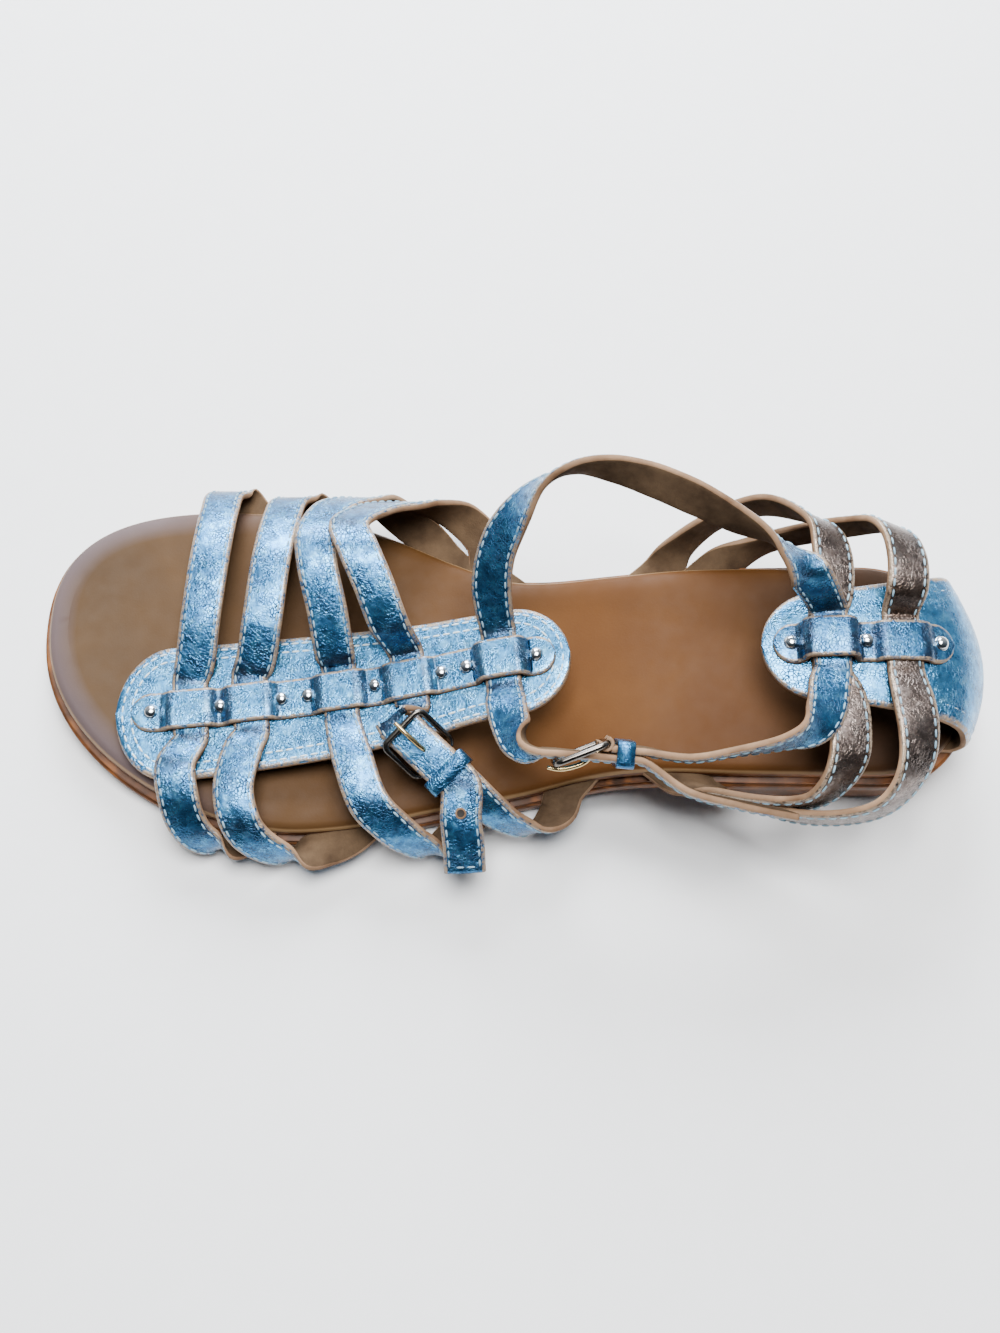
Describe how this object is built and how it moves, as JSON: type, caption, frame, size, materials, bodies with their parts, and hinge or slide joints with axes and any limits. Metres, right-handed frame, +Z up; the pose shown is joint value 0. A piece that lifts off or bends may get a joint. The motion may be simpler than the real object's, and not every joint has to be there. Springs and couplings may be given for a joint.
{
  "type": "gladiator sandal",
  "caption": "Flat gladiator sandal for the left foot in foil-finished leather, with crossing straps, two buckles, dome rivets and a low heel.",
  "frame": {"origin": "middle of the heel block's ground face", "axes": "+X from heel to toe, +Y to the outer side of the left foot, +Z up"},
  "size_m": [0.2577, 0.1164, 0.0723],
  "materials": {
    "foil_leather": "crackled metallic foil",
    "insole": "smooth, worn sheen",
    "outsole": "stacked, satin edge",
    "dark_nickel": "dark polished",
    "pale_gold": "satin",
    "nickel": "polished"
  },
  "bodies": {
    "root": {"outsole": "outsole", "heel_block": "outsole", "footbed": "insole", "front_upper": "foil_leather", "heel_upper": "foil_leather", "ankle_strap": "foil_leather", "instep_buckle_strap": "foil_leather", "instep_loop": "foil_leather", "ankle_loop": "foil_leather", "instep_buckle": "dark_nickel", "ankle_buckle": "dark_nickel", "instep_prong": "pale_gold", "ankle_prong": "pale_gold", "vamp_rivet_1": "nickel", "vamp_rivet_2": "nickel", "vamp_rivet_3": "nickel", "vamp_rivet_4": "nickel", "vamp_rivet_5": "nickel", "vamp_rivet_6": "nickel", "vamp_rivet_7": "nickel", "vamp_rivet_8": "nickel", "heel_rivet_1": "nickel", "heel_rivet_2": "nickel", "heel_rivet_3": "nickel"}
  },
  "joints": []
}
